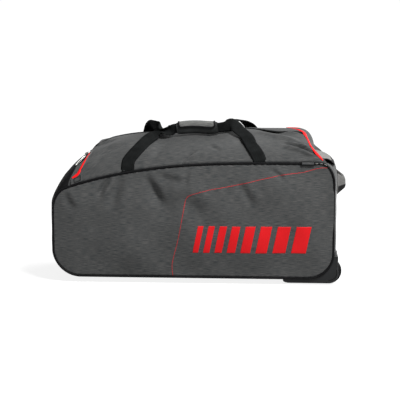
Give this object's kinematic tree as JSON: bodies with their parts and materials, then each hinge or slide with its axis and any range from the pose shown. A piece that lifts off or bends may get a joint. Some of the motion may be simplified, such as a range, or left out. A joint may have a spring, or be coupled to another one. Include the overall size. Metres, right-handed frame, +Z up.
{
  "type": "wheeled duffel bag",
  "caption": "Large soft travel duffel with a domed zipped top, piped side panels, webbing carry straps joined by a padded grip, an end grab handle and wheels in moulded corner housings.",
  "frame": {"origin": "on the floor, under the middle of the bag's overall box", "axes": "+X along the bag towards the wheels, +Y from the front panel to the back panel, +Z up"},
  "size_m": [0.861, 0.384, 0.4707],
  "materials": {
    "heather_cloth": "woven polyester with a charcoal and grey melange, matt",
    "black_cloth": "plain black coated polyester, slightly glossy",
    "zip_tape": "black zip tape with a nylon coil",
    "webbing": "black polypropylene webbing, ribbed",
    "red_trim": "red woven cord trim",
    "moulded_plastic": "dark grey moulded polypropylene, fine texture",
    "hub_plastic": "grey moulded nylon",
    "wheel_rubber": "black polyurethane tread, satin",
    "steel": "plain steel pin",
    "zip_metal": "nickel plated zinc, satin"
  },
  "bodies": {
    "bag": {"front_panel": "heather_cloth", "back_panel": "heather_cloth", "top_front_panel": "heather_cloth", "top_back_panel": "heather_cloth", "lid_panel": "heather_cloth", "right_end_panel": "heather_cloth", "right_cap": "heather_cloth", "end_flap": "heather_cloth", "grip_wrap": "heather_cloth", "end_handle": "heather_cloth", "left_end_panel": "black_cloth", "left_cap": "black_cloth", "base_panel": "black_cloth", "piping_front": "black_cloth", "piping_back": "black_cloth", "end_flap_binding": "black_cloth", "zip_front": "zip_tape", "zip_back": "zip_tape", "carry_strap_front": "webbing", "carry_strap_back": "webbing", "seam_tab_left": "webbing", "seam_tab_right": "webbing", "trim_left": "red_trim", "trim_right": "red_trim", "wheel_housing_front": "moulded_plastic", "wheel_housing_back": "moulded_plastic", "wheel_axle_front": "steel", "wheel_axle_back": "steel", "zip_slider_front": "zip_metal", "zip_slider_back": "zip_metal", "zip_pull_front": "zip_metal", "zip_pull_back": "zip_metal"},
    "front_wheel": {"wheel_hub_front": "hub_plastic", "wheel_tyre_front": "wheel_rubber"},
    "back_wheel": {"wheel_hub_back": "hub_plastic", "wheel_tyre_back": "wheel_rubber"}
  },
  "joints": [
    {"name": "front_wheel_spin", "type": "hinge", "parent": "bag", "child": "front_wheel", "pos_m": [0.38, -0.14, 0.037], "axis": [0, 1, 0], "continuous": true},
    {"name": "back_wheel_spin", "type": "hinge", "parent": "bag", "child": "back_wheel", "pos_m": [0.38, 0.14, 0.037], "axis": [0, 1, 0], "continuous": true}
  ]
}
